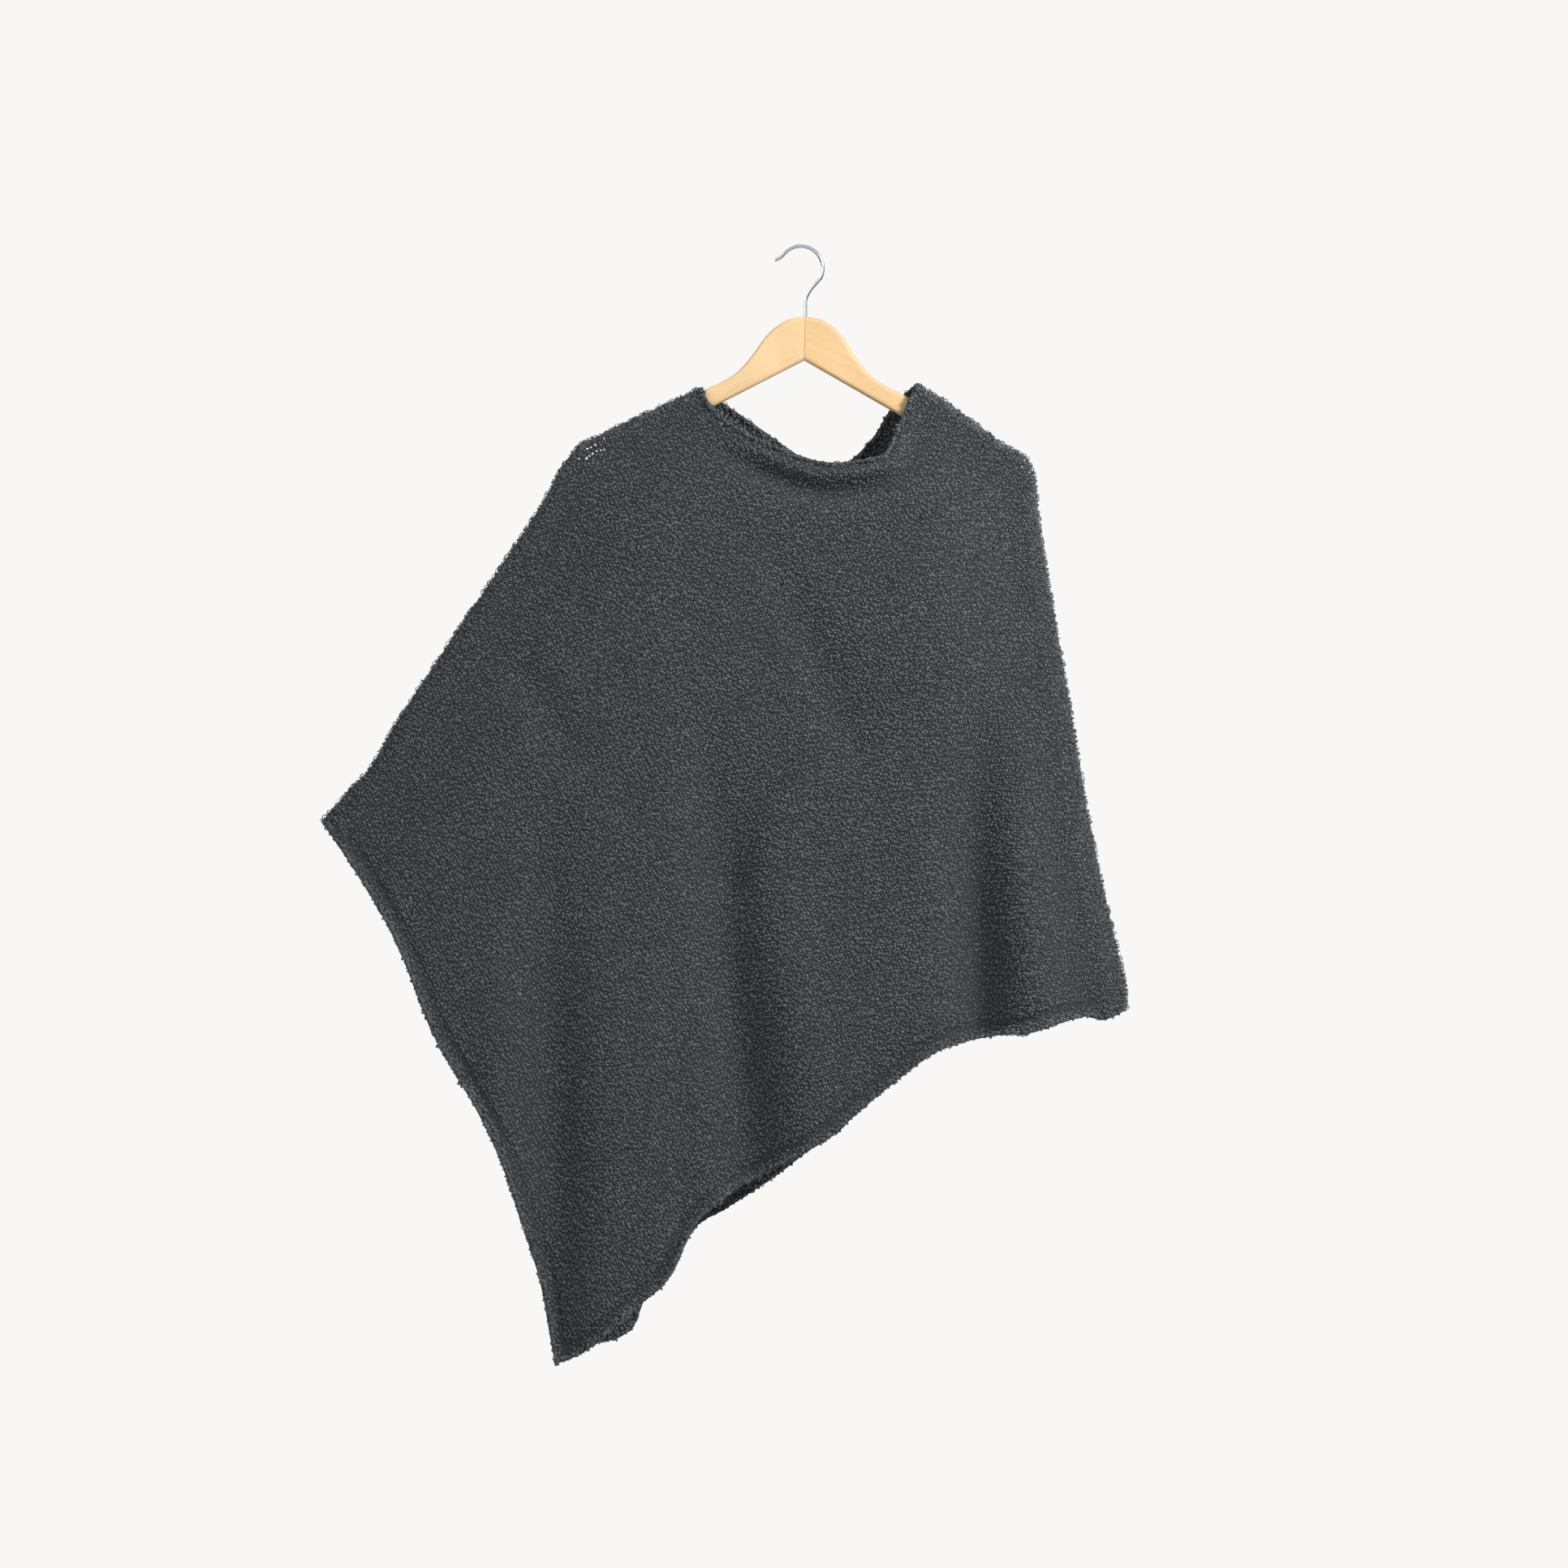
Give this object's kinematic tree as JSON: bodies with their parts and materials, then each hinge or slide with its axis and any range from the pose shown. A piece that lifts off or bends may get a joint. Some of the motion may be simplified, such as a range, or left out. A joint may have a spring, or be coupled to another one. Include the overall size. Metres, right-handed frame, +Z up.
{
  "type": "poncho on a wooden hanger",
  "caption": "Boucle knit poncho with an open neck and a slanting open hem, hanging askew on a wooden hanger with a wire hook.",
  "frame": {"origin": "inner crown of the hook, where a rail holds it", "axes": "+Z up, the poncho's front faces -Y, +X to the right seen from the front"},
  "size_m": [0.771, 0.087, 1.0699],
  "materials": {
    "knit": "matt nubby boucle wool",
    "beech": "satin clear varnish",
    "wire": "bright plated"
  },
  "bodies": {
    "root": {"front_panel": "knit", "back_panel": "knit", "hanger_arm_left": "beech", "hanger_arm_right": "beech", "hook": "wire"}
  },
  "joints": []
}
